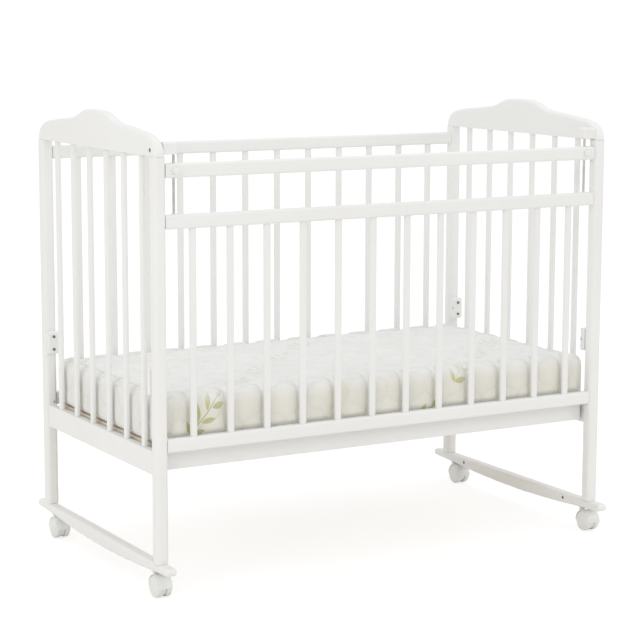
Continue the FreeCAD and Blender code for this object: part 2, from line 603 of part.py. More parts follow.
def rounded_rectangle(length, width, radius):
    """Closed outline with four corner arcs, centred on the origin."""
    a, b, r = length / 2, width / 2, radius
    k = r * (1 - math.sqrt(0.5))
    return [
        Part.LineSegment(V(-a + r, -b, 0), V(a - r, -b, 0)),
        Part.Arc(V(a - r, -b, 0), V(a - k, -b + k, 0), V(a, -b + r, 0)),
        Part.LineSegment(V(a, -b + r, 0), V(a, b - r, 0)),
        Part.Arc(V(a, b - r, 0), V(a - k, b - k, 0), V(a - r, b, 0)),
        Part.LineSegment(V(a - r, b, 0), V(-a + r, b, 0)),
        Part.Arc(V(-a + r, b, 0), V(-a + k, b - k, 0), V(-a, b - r, 0)),
        Part.LineSegment(V(-a, b - r, 0), V(-a, -b + r, 0)),
        Part.Arc(V(-a, -b + r, 0), V(-a + k, -b + k, 0), V(-a + r, -b, 0)),
    ]


outline = rounded_rectangle(D["mattress_length"], D["mattress_width"], D["mattress_corner"])
body, pad = pad_body("mattress_body", "XY_Plane", outline, "Dims.mattress_thick")
rims = ["Edge%d" % i for i, e in enumerate(pad.Shape.Edges, 1) if e.BoundBox.ZLength < 0.01]
fillet = body.newObject("PartDesign::Fillet", "mattress_rims")
fillet.Base = (pad, rims)
bind(fillet, Radius="Dims.mattress_edge")
bind(body, z="Dims.mattress_z + Dims.mattress_thick / 2")
finish(body, "mattress")


# ---------------------------------------------------------------- casters
def x_cylinder(name, diameter, width, x, y, z):
    """Cylinder along X, centred on x."""
    return cylinder(name, diameter, width, "(%s) - (%s) / 2" % (x, width), y, z, X)


def wheel_profile(sx):
    """Half section of one wheel: bore, tread, rounded shoulder and dished outer face."""
    r, a, b = D["wheel_radius"], D["wheel_inner_x"], D["wheel_outer_x"]
    bore = D["axle_diameter"] / 2
    points = [(a, bore), (a, r - 1), (a + 1, r), (b - 3.6, r), (b - 2.2, r - 0.7), (b - 1.2, r - 2.0),
              (b - 0.8, r - 3.6), (b - 0.9, r - 5.0), (b - 1.5, r - 5.6), (b - 1.5, r - 6.6),
              (b - 0.8, r - 7.4), (b - 0.3, 9.0), (b, 4.0), (b, 0.0), (b - 3.2, 0.0), (b - 3.2, bore)]
    return [(sx * p, q) for p, q in points]


sockets = []
for end, sx in ENDS:
    for side, sy in SIDES:
        tag = "%s_%s_caster" % (end, side)
        x, stem_y = "%d * Dims.post_x" % sx, "%d * Dims.stem_y" % sy
        axle_y = "%s - Dims.trail" % stem_y
        disc = x_cylinder(tag + "_disc", "2 * Dims.hood_radius", "Dims.web_width", x, axle_y, "Dims.axle_z")
        shroud = x_cylinder(tag + "_shroud", "2 * Dims.hood_radius", "Dims.hood_width", x, axle_y,
                            "Dims.axle_z")
        hollow = x_cylinder(tag + "_hollow", "2 * Dims.hood_bore", 60, x, axle_y, "Dims.axle_z")
        shell = cut(tag + "_shell", shroud, [hollow])
        below = box(tag + "_below", 80, 80, 40, x, axle_y, "Dims.axle_z - 42")
        column = cylinder(tag + "_column", "Dims.neck_diameter", "Dims.neck_top_z - 33", x, stem_y, 33)
        hollow2 = x_cylinder(tag + "_hollow2", "2 * Dims.hood_bore", 60, x, axle_y, "Dims.axle_z")
        neck = cut(tag + "_neck", column, [hollow2])
        upper = cut(tag + "_upper", fuse(tag + "_cover", [disc, shell]), [below])
        web = x_cylinder(tag + "_web", 45.0, "Dims.web_width", x, axle_y, "Dims.axle_z")
        solid = fuse(tag + "_solid", [upper, neck, web])
        tools = [x_cylinder(tag + "_axle_hole", "Dims.axle_diameter + 0.6", 40, x, axle_y, "Dims.axle_z"),
                 cylinder(tag + "_stem_hole", D["stem_diameter"] + 2 * PLAY, 40, x, stem_y, 42)]
        finish(cut(tag + "_hood_cut", solid, tools), tag + "_hood")
        finish(cylinder(tag + "_stem_pin", "Dims.stem_diameter", "Dims.stem_top_z - 42.2", x, stem_y, 42.2),
               tag + "_stem")
        half = "(Dims.wheel_outer_x - 3.3)"
        finish(x_cylinder(tag + "_axle_pin", "Dims.axle_diameter", "2 * " + half, x, axle_y, "Dims.axle_z"),
               tag + "_axle")
        for face, sign in (("outer", sx), ("inner", -sx)):
            body = turned_body("%s_%s_body" % (tag, face), wheel_profile(sign))
            bind(body, x=x, y=axle_y, z="Dims.axle_z")
            finish(body, "%s_%s_wheel" % (tag, face))
        tube = cylinder(tag + "_tube", "Dims.socket_diameter", "Dims.socket_top_z - Dims.flange_z", x,
                        stem_y, "Dims.flange_z")
        flange = cylinder(tag + "_flange", "Dims.flange_diameter", 1.3, x, stem_y, "Dims.flange_z")
        bore = cylinder(tag + "_bore", D["stem_diameter"] + 0.6, "Dims.stem_top_z - Dims.flange_z + 1", x,
                        stem_y, "Dims.flange_z - 0.5")
        sockets.append(cut(tag + "_socket", fuse(tag + "_socket_solid", [tube, flange]), [bore]))
finish(group("socket_group", sockets), "caster_sockets")


# ---------------------------------------------------------------- check and write
doc.recompute()
os.makedirs("parts", exist_ok=True)
for obj in doc.Objects:
    if "Invalid" in obj.State or "Error" in obj.State:
        raise RuntimeError("%s did not rebuild: %s" % (obj.Label, obj.State))
for obj in FINISHED:
    shape = obj.Shape
    if shape.isNull() or not shape.isValid() or not shape.Solids:
        raise RuntimeError("%s has no valid solid" % obj.Label)
    for solid in shape.Solids:
        if solid.Volume <= 0:
            raise RuntimeError("%s has an inside-out solid" % obj.Label)
    shape.exportStep("parts/%s.step" % obj.Label)
print("sub-parts written:", len(FINISHED))
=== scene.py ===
import math

import bpy
import numpy as np
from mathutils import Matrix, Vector


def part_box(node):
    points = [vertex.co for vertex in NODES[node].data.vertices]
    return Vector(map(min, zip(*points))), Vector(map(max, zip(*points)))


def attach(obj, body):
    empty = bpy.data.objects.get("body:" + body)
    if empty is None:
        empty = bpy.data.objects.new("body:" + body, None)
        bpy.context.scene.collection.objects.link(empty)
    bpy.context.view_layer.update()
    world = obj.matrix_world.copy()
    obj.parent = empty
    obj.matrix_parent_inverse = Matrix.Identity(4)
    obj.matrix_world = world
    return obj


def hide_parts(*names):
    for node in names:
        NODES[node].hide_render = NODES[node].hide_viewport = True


# Baby crib: paint, wood, metal and moulded plastic on the CAD frame, and a quilted mattress.
# Everything is in metres in the CAD frame: X along the crib, -Y the front, Z up.

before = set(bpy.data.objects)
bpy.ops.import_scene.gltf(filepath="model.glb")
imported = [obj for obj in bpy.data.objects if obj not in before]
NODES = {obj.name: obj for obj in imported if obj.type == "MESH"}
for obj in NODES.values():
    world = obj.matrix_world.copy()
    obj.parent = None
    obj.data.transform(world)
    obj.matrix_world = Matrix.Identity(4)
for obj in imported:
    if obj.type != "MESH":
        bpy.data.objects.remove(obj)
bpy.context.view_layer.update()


# ---------------------------------------------------------------- node trees
class Tree:
    """A material with a Principled shader, and short ways to add and join nodes."""

    def __init__(self, name):
        self.material = bpy.data.materials.new(name)
        self.material.use_nodes = True
        self.nodes = self.material.node_tree.nodes
        self.links = self.material.node_tree.links
        self.shader = self.nodes["Principled BSDF"]

    def join(self, value, socket):
        if isinstance(value, bpy.types.NodeSocket):
            self.links.new(value, socket)
        else:
            socket.default_value = value

    def add(self, kind, inputs=(), **settings):
        node = self.nodes.new("ShaderNode" + kind)
        for key, value in settings.items():
            setattr(node, key, value)
        for key, value in dict(inputs).items():
            self.join(value, node.inputs[key])
        return node

    def math(self, operation, *values, clamp=False):
        node = self.add("Math", operation=operation, use_clamp=clamp)
        for i, value in enumerate(values):
            self.join(value, node.inputs[i])
        return node.outputs[0]

    def place(self):
        return self.add("TexCoord").outputs["Object"]

    def stretched(self, vector, scale):
        return self.add("Mapping", {"Vector": vector, "Scale": scale}).outputs[0]

    def noise(self, vector, scale, detail=2.0, roughness=0.5, distortion=0.0):
        node = self.add("TexNoise", {"Vector": vector, "Scale": scale, "Detail": detail,
                                     "Roughness": roughness, "Distortion": distortion})
        return node.outputs["Fac"]

    def ramp(self, value, stops):
        """Value through a ramp of (position, colour) stops."""
        node = self.add("ValToRGB", {"Fac": value})
        marks = node.color_ramp.elements
        while len(marks) < len(stops):
            marks.new(0.5)
        for mark, (position, colour) in zip(marks, stops):
            mark.position = position
            mark.color = (*colour, 1) if len(colour) == 3 else colour
        return node.outputs["Color"]

    def span(self, value, low, high):
        """Value from 0 to 1 taken to low to high."""
        node = self.add("MapRange", {"Value": value, "To Min": low, "To Max": high})
        return node.outputs["Result"]

    def mix(self, factor, a, b, blend="MIX"):
        """Colour a taken towards colour b, or with another blend laid over it."""
        node = self.add("Mix", data_type="RGBA", blend_type=blend)
        for name, value in (("Factor", factor), ("A", a), ("B", b)):
            socket = [s for s in node.inputs if s.name == name and s.enabled][0]
            self.join(value, socket)
        return [s for s in node.outputs if s.enabled][0]

    def fade(self, value, start, end, first=0.0, last=1.0, smooth=False):
        """Value from start to end taken to first to last, and held beyond them."""
        inputs = {"Value": value, "From Min": start, "From Max": end, "To Min": first, "To Max": last}
        kind = "SMOOTHSTEP" if smooth else "LINEAR"
        return self.add("MapRange", inputs, interpolation_type=kind).outputs["Result"]

    def bump(self, height, distance, strength=1.0, normal=None):
        inputs = {"Height": height, "Distance": distance, "Strength": strength}
        if normal is not None:
            inputs["Normal"] = normal
        return self.add("Bump", inputs).outputs["Normal"]

    def finish(self, **inputs):
        names = {"color": "Base Color", "roughness": "Roughness", "normal": "Normal",
                 "metallic": "Metallic", "coat": "Coat Weight", "coat_roughness": "Coat Roughness",
                 "sheen": "Sheen Weight", "sheen_roughness": "Sheen Roughness",
                 "specular": "Specular IOR Level", "subsurface": "Subsurface Weight",
                 "anisotropic": "Anisotropic"}
        for key, value in inputs.items():
            self.join(value, self.shader.inputs[names[key]])
        return self.material


ALONG = {"x": (1, 0, 0), "y": (0, 1, 0), "z": (0, 0, 1)}


def grain_scale(axis, along, across):
    return tuple(along if a else across for a in ALONG[axis])


# how strongly the grain shows through the paint, and fibre and flecks on the bare wood
STREAK_SHOWS, FIBRE_SHOWS, FLECK_SHOWS = 0.16, 0.6, 0.35


def painted(axis):
    """Satin white paint on birch: the grain just shows through, with a fine roller texture."""
    t = Tree("white_paint_" + axis)
    place = t.place()
    broad = t.noise(place, 3.2, 3.0)
    grain = t.noise(t.stretched(place, grain_scale(axis, 9.0, 230.0)), 1.0, 5.0, 0.62, 0.4)
    pores = t.noise(t.stretched(place, grain_scale(axis, 40.0, 900.0)), 1.0, 2.0, 0.5)
    roller = t.noise(place, 620.0, 2.0, 0.55)
    tone = t.ramp(broad, [(0.3, (0.848, 0.852, 0.845)), (0.7, (0.874, 0.879, 0.873))])
    streak = t.ramp(grain, [(0.28, (0.94, 0.935, 0.922)), (0.55, (1.0, 1.0, 1.0))])
    colour = t.mix(STREAK_SHOWS, tone, streak, "MULTIPLY")
    lines = t.bump(grain, 0.00028, 0.55)
    fine = t.bump(pores, 0.00010, 0.4, lines)
    peel = t.bump(roller, 0.00006, 0.5, fine)
    gloss = t.span(t.noise(place, 38.0, 3.0), 0.34, 0.5)
    return t.finish(color=colour, roughness=gloss, normal=peel, coat=0.12, coat_roughness=0.3,
                    specular=0.42)


def bare_wood(axis):
    """Sanded birch: pale peach wood with soft growth lines, flecks and a dry surface."""
    t = Tree("bare_wood_" + axis)
    place = t.place()
    drift = t.stretched(place, grain_scale(axis, 1.4, 14.0))
    rings = t.noise(drift, 3.0, 4.0, 0.55, 1.6)
    fibre = t.noise(t.stretched(place, grain_scale(axis, 14.0, 420.0)), 1.0, 5.0, 0.65)
    fleck = t.noise(t.stretched(place, grain_scale(axis, 130.0, 900.0)), 1.0, 1.0)
    body = t.ramp(rings, [(0.3, (0.82, 0.71, 0.58)), (0.5, (0.89, 0.80, 0.68)), (0.72, (0.85, 0.75, 0.62))])
    dark = t.ramp(fibre, [(0.3, (0.86, 0.82, 0.77)), (0.6, (1, 1, 1))])
    colour = t.mix(FIBRE_SHOWS, body, dark, "MULTIPLY")
    spots = t.ramp(fleck, [(0.66, (0, 0, 0)), (0.74, (1, 1, 1))])
    flecked = t.mix(t.math("MULTIPLY", spots, FLECK_SHOWS), colour, (0.68, 0.54, 0.40, 1))
    normal = t.bump(fibre, 0.00035, 0.7, t.bump(fleck, 0.00012, 0.4))
    return t.finish(color=flecked, roughness=t.span(fibre, 0.56, 0.74), normal=normal, specular=0.3)


def drawn_steel():
    """Grey drawn rod: fine lengthwise lines and slightly uneven gloss."""
    t = Tree("steel_rod")
    place = t.place()
    lines = t.noise(t.stretched(place, (1500.0, 1500.0, 18.0)), 1.0, 4.0, 0.6)
    cloud = t.noise(place, 60.0, 3.0)
    colour = t.ramp(cloud, [(0.3, (0.50, 0.51, 0.52)), (0.7, (0.64, 0.65, 0.66))])
    return t.finish(color=colour, metallic=1.0, roughness=t.span(lines, 0.26, 0.46),
                    normal=t.bump(lines, 0.00004, 0.6), anisotropic=0.4)


def dark_steel():
    """Blackened steel of screws and bolts, rubbed brighter in places."""
    t = Tree("dark_steel")
    place = t.place()
    rub = t.noise(place, 420.0, 4.0, 0.6)
    colour = t.ramp(rub, [(0.35, (0.16, 0.16, 0.165)), (0.72, (0.30, 0.30, 0.31))])
    return t.finish(color=colour, metallic=0.85, roughness=t.span(rub, 0.32, 0.55),
                    normal=t.bump(rub, 0.00008, 0.5))


def moulded(name, low, high, gloss, texture, coat):
    """Moulded plastic with a faint spark-eroded texture and slow tone changes."""
    t = Tree(name)
    place = t.place()
    tone = t.ramp(t.noise(place, 22.0, 2.0), [(0.3, low), (0.7, high)])
    skin = t.noise(place, texture, 2.0, 0.6)
    flow = t.noise(place, 90.0, 2.0, 0.5, 0.8)
    normal = t.bump(skin, 0.00005, 0.5, t.bump(flow, 0.00012, 0.35))
    return t.finish(color=tone, roughness=t.span(flow, *gloss), normal=normal, coat=coat,
                    coat_roughness=0.25, subsurface=0.04)


PAINT = {axis: painted(axis) for axis in ALONG}
WOOD = {axis: bare_wood(axis) for axis in ("x", "y")}
STEEL = drawn_steel()
DARK = dark_steel()
SATIN = moulded("white_plastic", (0.84, 0.84, 0.825), (0.88, 0.88, 0.865), (0.34, 0.46), 900.0, 0.1)
GLOSSY = moulded("caster_plastic", (0.80, 0.80, 0.785), (0.85, 0.85, 0.835), (0.24, 0.36), 700.0, 0.25)


# ---------------------------------------------------------------- which material each CAD node takes
def wear(names, material):
    for name in names:
        mesh = NODES[name].data
        mesh.materials.clear()
        mesh.materials.append(material)


ENDS = ("left", "right")
CORNERS = [end + "_" + side for end in ENDS for side in ("front", "rear")]
CASTERS = [corner + "_caster_" for corner in CORNERS]

wear([c + "_post" for c in CORNERS] + ["front_slats", "rear_slats", "left_end_slats", "right_end_slats"],
     PAINT["z"])
wear(["front_bottom_rail", "rear_bottom_rail", "rear_top_rail", "front_middle_rail", "drop_rail",
      "base_front_rail", "base_rear_rail"], PAINT["x"])
wear([end + part for end in ENDS for part in ("_crest_board", "_end_board", "_rocker")], PAINT["y"])
wear(["base_end_rails", "base_slats"], WOOD["y"])
wear(["frame_dowels"], WOOD["x"])
wear(["left_guide_rod", "right_guide_rod", "shelf_pins"] + [c + "stem" for c in CASTERS]
     + [c + "axle" for c in CASTERS], STEEL)
wear(["rod_holder_bolts", "block_screws", "rocker_inserts"], DARK)
wear(["rod_buffers", "drop_rail_bushings", "left_rod_holder", "right_rod_holder", "upper_support_blocks",
      "left_latch_knob", "right_latch_knob", "caster_sockets"], SATIN)
wear([c + part for c in CASTERS for part in ("hood", "outer_wheel", "inner_wheel")], GLOSSY)


# ---------------------------------------------------------------- mattress
LOW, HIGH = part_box("mattress")
HALF_X, HALF_Y = (HIGH.x - LOW.x) / 2, (HIGH.y - LOW.y) / 2
PLAN_CORNER = 0.034      # radius of the pad's corners seen from above
SLEEVE = 0.0045          # how much smaller than the CAD pad the cover starts
CROWN = 0.0025           # how much higher the middle of the top stands than its rim
VOXEL = 0.0058           # spacing of the cover's points before it is subdivided

# quilting
QUILT_PITCH = 0.078      # spacing of the diagonal seams
QUILT_WAVE = 0.0075      # how far each seam waves to the side
SEWN = 0.55 * VOXEL      # points this close to a seam are held by it
HELD_FOOT = 0.012        # height up to which the cover is held where it rests on the base
CLOTH_STEPS = 16
PUFF_LIMIT = 0.0065      # the most that the simulation moves a point
GROOVE_DEPTH, GROOVE_WIDTH = 0.0012, 0.0028
TUCK_PITCH = 0.012       # spacing of the small tucks along a groove

# where the soft sides meet the crib
SIDE_PITCH, END_PITCH = 0.0945, 0.0973   # spacing of the slats that it leans on
GAP_SHARE = 0.86                         # share of that spacing in which the cover can swell
WALL_Y, SWELL_Y = 0.0105, 0.0070         # how far the long sides spread, and swell between slats
WALL_X, SWELL_X = 0.0004, 0.0036         # the same for the ends
ARCH_FOOT, ARCH_TOP = -0.034, 0.024      # how far over the edge each swelling narrows and ends
ARCH_SIDES, ARCH_CROWN = 3.4, 2.6        # how square the sides and the top of a swelling are
RIM_ROOT = 0.3                           # evens out the steps towards a swelling's rim
CREASE_DEPTH = 0.32                      # depth of the crease over a swelling, as a share of it
CREASE_AT, CREASE_WIDTH = 1.06, 0.09
LIFT_LEFT, LIFT_RIGHT = 0.0095, 0.004    # how far the front border stands up at each end
RAIL_TOP = 0.366                         # the bottom rail holds the long sides in up to here
CORNER_POWER = 8                         # how square the soft corners are
ROOM_X, ROOM_Y = 0.6035, 0.3195          # nothing of the cover passes these

# bands from 0 to 1: the cover's own, by height
PAD_FOOT = (LOW.z + 0.004, LOW.z + 0.03)       # below it the underside stays flat
QUILTED_FROM = (LOW.z + 0.006, LOW.z + 0.022)  # the grooves start here
CROWN_BAND = (HIGH.z - 0.03, HIGH.z - 0.004)
# the raised front border: inwards from the front, upwards, and out to the corners
BORDER_Y, BORDER_Z = (HALF_Y - 0.085, HALF_Y - 0.02), (HIGH.z - 0.05, HIGH.z - 0.015)
BORDER_END, BORDER_CUT = (0.575, 0.597), 0.6
# where the long sides come to the posts and are held back, and where the outer gaps end
POST_BAND, POST_HOLD = (0.575, 0.592), 0.5
LAST_GAP_X, LAST_GAP_Y = (0.560, 0.585), (0.268, 0.290)
ABOVE_RAIL, ABOVE_BOARD = (RAIL_TOP - 0.004, RAIL_TOP + 0.01), (LOW.z + 0.002, LOW.z + 0.02)


def past_core(points):
    """The nearest place between the corners' centres, and the way and distance from there."""
    core = [HALF_X - PLAN_CORNER, HALF_Y - PLAN_CORNER]
    inner = np.clip(points[:, :2], np.negative(core), core)
    out = points[:, :2] - inner
    return inner, out, np.linalg.norm(out, axis=1)


def cloth_place(points):
    """The place of each point on the cover laid flat: the top as it is, the sides folded outwards."""
    _, out, size = past_core(points)
    out = out / np.maximum(size, 1e-6)[:, None]
    drop = np.clip(HIGH.z - points[:, 2], 0, HIGH.z - LOW.z)
    return points[:, :2] + out * drop[:, None], drop


def seam_distance(cloth):
    """Distance on the cover to the nearest quilting seam: two crossing sets of waving diagonals."""
    s = (cloth[:, 0] + cloth[:, 1]) / math.sqrt(2)
    t = (cloth[:, 0] - cloth[:, 1]) / math.sqrt(2)
    turn = 2 * math.pi / QUILT_PITCH
    found = []
    for across, along in ((s, t), (t, s)):
        place = across + QUILT_WAVE * np.sin(turn * along)
        found.append(np.abs((place + QUILT_PITCH / 2) % QUILT_PITCH - QUILT_PITCH / 2))
    return np.minimum(*found)


def read_vertices(mesh, kind):
    values = np.empty(len(mesh.vertices) * 3, np.float64)
    mesh.vertices.foreach_get(kind, values)
    return values.reshape(-1, 3)


def read_points(mesh):
    return read_vertices(mesh, "co")


def read_normals(mesh):
    return read_vertices(mesh, "normal")


def write_points(mesh, points):
    mesh.vertices.foreach_set("co", points.astype(np.float32).ravel())
    mesh.update()


def applied(obj):
    """Takes the result of every modifier into the object's own mesh."""
    graph = bpy.context.evaluated_depsgraph_get()
    mesh = bpy.data.meshes.new_from_object(obj.evaluated_get(graph))
    obj.modifiers.clear()
    obj.data = mesh
    return mesh


def ease(value, start, end):
    share = np.clip((value - start) / (end - start), 0, 1)
    return share * share * (3 - 2 * share)


def swell(cover):
    """Inflates the cover between its sewn seams by cloth simulation and keeps the movement small."""
    start = read_points(cover.data)
    cloth, _ = cloth_place(start)
    held = (seam_distance(cloth) < SEWN) | (start[:, 2] < LOW.z + HELD_FOOT)
    pins = cover.vertex_groups.new(name="sewn")
    pins.add([int(i) for i in np.flatnonzero(held)], 1.0, "REPLACE")
    fabric = cover.modifiers.new("fabric", "CLOTH")
    settings = fabric.settings
    settings.quality = 4
    settings.mass = 0.25
    settings.tension_stiffness = 12
    settings.compression_stiffness = 12
    settings.shear_stiffness = 4
    settings.bending_stiffness = 0.25
    settings.use_pressure = True
    settings.uniform_pressure_force = 9.0
    settings.vertex_group_mass = "sewn"
    settings.effector_weights.gravity = 0
    fabric.collision_settings.use_collision = False
    scene = bpy.context.scene
    for step in range(1, CLOTH_STEPS + 1):
        scene.frame_set(step)
    moved = read_points(applied(cover))
    scene.frame_set(1)
    way = moved - start
    far = np.linalg.norm(way, axis=1)
    keep = PUFF_LIMIT * np.tanh(far / PUFF_LIMIT) / np.maximum(far, 1e-9)
    write_points(cover.data, start + way * keep[:, None])


def gap_swell(along, inward, pitch):
    """How far the cover swells: a tall arch of up to 1 in each gap, and below 0 in the crease
    over its rim. The depth of the crease is given as well, from 0 to 1.

    inward is how far past the top edge a point lies, and negative down the side."""
    place = ((along / pitch + 0.5) % 1 - 0.5) * 2 / GAP_SHARE
    rise = np.clip((inward - ARCH_FOOT) / (ARCH_TOP - ARCH_FOOT), 0, 2)
    rim = np.abs(place) ** ARCH_SIDES + rise ** ARCH_CROWN
    arch = np.sqrt(np.clip(1 - rim, 0, 1))
    crease = np.exp(-((rim ** RIM_ROOT - CREASE_AT) / CREASE_WIDTH) ** 2) * ease(rise, 0.3, 0.9)
    return arch - CREASE_DEPTH * crease, crease


def square_corners(points):
    """The soft corners press out towards the posts, squarer than the pad's own."""
    inner, out, size = past_core(points)
    turn = np.abs(out) / np.maximum(size, 1e-9)[:, None]
    spread = np.maximum(turn[:, 0] ** CORNER_POWER + turn[:, 1] ** CORNER_POWER, 1e-6)
    grow = np.where(size > 1e-6, spread ** (-1 / CORNER_POWER), 1.0)
    points[:, :2] = inner + out * grow[:, None]


def front_border_lift(points):
    """How far the front edge of the top stands up: more at the left end than at the right."""
    x, y, z = points.T
    lift = np.interp(x, [-HALF_X, HALF_X], [LIFT_LEFT, LIFT_RIGHT])
    by_corner = 1 - ease(np.abs(x), *BORDER_END) * BORDER_CUT
    return lift * ease(-y, *BORDER_Y) * ease(z, *BORDER_Z) * by_corner


def lean_on_slats(points, normals, cloth):
    """The soft sides spread until they meet the slats, and swell a little into each gap.

    Gives how deep in a crease each point lies, from 0 to 1."""
    x, y, z = points.T.copy()
    folds = np.zeros_like(x)
    clear_of_posts = 1 - ease(np.abs(x), *POST_BAND) * POST_HOLD
    long_sides = (1, HALF_Y, y, x, SIDE_PITCH, WALL_Y * clear_of_posts, SWELL_Y,
                  1 - ease(np.abs(x), *LAST_GAP_X), ease(z, *ABOVE_RAIL))
    ends = (0, HALF_X, x, y, END_PITCH, WALL_X, SWELL_X,
            1 - ease(np.abs(y), *LAST_GAP_Y), ease(z, *ABOVE_BOARD))
    for axis, half, across, along, pitch, spread, depth, reach, above in (long_sides, ends):
        near = ease(np.abs(across), half - 0.045, half - 0.006)
        points[:, axis] += np.sign(across) * near * spread
        out = np.abs(cloth[:, axis])
        edge = ease(out, half - 0.05, half - 0.03)
        swelling, crease = gap_swell(along, half - out, pitch)
        points += normals * (depth * swelling * reach * above * edge)[:, None]
        folds = np.maximum(folds, crease * reach * edge)
    return folds


def remeshed_pad():
    """A slightly smaller, crowned copy of the CAD pad, with even points and a flat underside."""
    cover = bpy.data.objects.new("mattress_quilted", NODES["mattress"].data.copy())
    bpy.context.scene.collection.objects.link(cover)
    shape = cover.modifiers.new("voxels", "REMESH")
    shape.mode = "VOXEL"
    shape.voxel_size = VOXEL
    mesh = applied(cover)
    points = read_points(mesh)
    upper = ease(points[:, 2], *PAD_FOOT)
    points -= read_normals(mesh) * (SLEEVE * upper)[:, None]
    crown = (1 - (points[:, 0] / HALF_X) ** 4) * (1 - (points[:, 1] / HALF_Y) ** 4)
    points[:, 2] += CROWN * crown * ease(points[:, 2], *CROWN_BAND)
    write_points(mesh, points)
    return cover, upper


def make_mattress():
    cover, upper = remeshed_pad()
    swell(cover)
    smooth = cover.modifiers.new("smooth", "SUBSURF")
    smooth.levels = 1
    smooth.render_levels = 1
    mesh = applied(cover)
    points = read_points(mesh)
    normals = read_normals(mesh)
    cloth, drop = cloth_place(points)
    upper = ease(points[:, 2], *QUILTED_FROM)
    groove = np.exp(-(seam_distance(cloth) / GROOVE_WIDTH) ** 2)
    run = (cloth[:, 0] + cloth[:, 1]) / math.sqrt(2)
    tuck = 0.75 + 0.25 * np.sin(2 * math.pi * run / TUCK_PITCH)
    points -= normals * (GROOVE_DEPTH * groove * tuck * upper)[:, None]
    square_corners(points)
    lift = front_border_lift(points)
    folds = lean_on_slats(points, normals, cloth)
    points[:, 2] += lift
    points[:, 0] = np.clip(points[:, 0], -ROOM_X, ROOM_X)
    points[:, 1] = np.clip(points[:, 1], -ROOM_Y, ROOM_Y)
    points[:, 2] = np.maximum(points[:, 2], LOW.z)
    write_points(mesh, points)
    mesh.shade_smooth()
    flat = mesh.attributes.new("cloth", "FLOAT_VECTOR", "POINT")
    flat.data.foreach_set("vector", np.column_stack([cloth, drop]).astype(np.float32).ravel())
    # how deep in a crease each point lies; the knit darkens with it as painted shade
    fold = mesh.attributes.new("fold", "FLOAT", "POINT")
    fold.data.foreach_set("value", folds.astype(np.float32))
    mesh.materials.clear()
    return cover


SPRIG_STEP, STRIPE_STEP = 0.181, 0.467    # spacing of sprigs in a stripe, and of stripes
SPRIG_START, STRIPE_START = 0.580, 0.099
# each leaf: middle along and across the stem, turn in degrees, half length, half width (m)
LEAVES = [(-0.054, 0.010, 60, 0.017, 0.0065), (-0.046, -0.014, -40, 0.019, 0.0072),
          (-0.020, 0.015, 42, 0.021, 0.0078), (-0.010, -0.015, -36, 0.020, 0.0074),
          (0.016, 0.014, 38, 0.019, 0.0070), (0.028, -0.012, -32, 0.017, 0.0064),
          (0.054, 0.001, 4, 0.018, 0.0066), (-0.004, 0.000, 1, 0.064, 0.0016)]


def leaf_mask(t, vector, along, across, turn, length, width):
    """Mask of one pointed leaf: 1 inside and 0 outside, with a soft edge."""
    local = t.add("Mapping", {"Vector": vector, "Location": (along, across, 0),
                              "Rotation": (0, 0, math.radians(turn)), "Scale": (length, width, 1)},
                  vector_type="TEXTURE").outputs[0]
    parts = t.add("SeparateXYZ", {"Vector": local})
    bow = t.math("MULTIPLY", parts.outputs["X"], parts.outputs["X"])
    side = t.math("ABSOLUTE", parts.outputs["Y"])
    inside = t.math("SUBTRACT", t.math("SUBTRACT", 1.0, bow), side)
    return t.math("MULTIPLY", inside, 6.0, clamp=True)


def diagonals(t, cloth):
    """The place on the cover measured along its two diagonals."""
    turned = t.add("VectorRotate", {"Vector": cloth, "Angle": -math.pi / 4}, rotation_type="Z_AXIS")
    parts = t.add("SeparateXYZ", {"Vector": turned.outputs[0]})
    return parts.outputs["X"], parts.outputs["Y"]


def sprig_mask(t, cloth, shift_along, shift_across):
    """Repeats the sprig along diagonal stripes of the cover."""
    x, y = diagonals(t, cloth)
    along = t.math("ADD", x, SPRIG_START + shift_along)
    across = t.math("ADD", y, shift_across - STRIPE_START)
    along = t.math("WRAP", along, SPRIG_STEP / 2, -SPRIG_STEP / 2)
    across = t.math("WRAP", across, STRIPE_STEP / 2, -STRIPE_STEP / 2)
    spot = t.add("CombineXYZ", {"X": along, "Y": across}).outputs[0]
    mask = None
    for leaf in LEAVES:
        one = leaf_mask(t, spot, *leaf)
        mask = one if mask is None else t.math("MAXIMUM", mask, one)
    return mask


def seam_lines(t, cloth):
    """Distance to the nearest quilting seam and the place along it, as in seam_distance()."""
    s, v = diagonals(t, cloth)
    turn = 2 * math.pi / QUILT_PITCH
    wave_v = t.math("MULTIPLY", t.math("SINE", t.math("MULTIPLY", v, -turn)), QUILT_WAVE)
    wave_s = t.math("MULTIPLY", t.math("SINE", t.math("MULTIPLY", s, turn)), QUILT_WAVE)
    a = t.math("PINGPONG", t.math("ADD", s, wave_v), QUILT_PITCH / 2)
    b = t.math("PINGPONG", t.math("SUBTRACT", v, wave_s), QUILT_PITCH / 2)
    return t.math("MINIMUM", a, b), t.math("ADD", s, v)


TOP_TONES = [(0.3, (0.84, 0.845, 0.83)), (0.7, (0.885, 0.888, 0.875))]
# the side tones are partly the border's own cream and partly painted shade, darker than the top
SIDE_TONES = [(0.3, (0.775, 0.76, 0.69)), (0.7, (0.82, 0.808, 0.742))]
VEINS = [(0.47, (1, 1, 1)), (0.5, (0.955, 0.952, 0.93)), (0.53, (1, 1, 1))]
LEAF_GREEN, PALE_LEAF = (0.42, 0.44, 0.09, 1), (0.66, 0.60, 0.30, 1)
# SEAM_SHADE is painted shade along the quilting seams; FOLD_SHADE is painted shade in the creases over the
# swellings
SEAM_SHADE, THREAD, FOLD_SHADE = (0.62, 0.60, 0.54, 1), (0.80, 0.78, 0.70, 1), (0.55, 0.53, 0.46, 1)
PALE_SHOWS, SEAM_SHOWS, THREAD_SHOWS, FOLD_SHOWS = 0.10, 0.10, 0.35, 0.42
STITCH = 0.0055           # length of one stitch and its gap


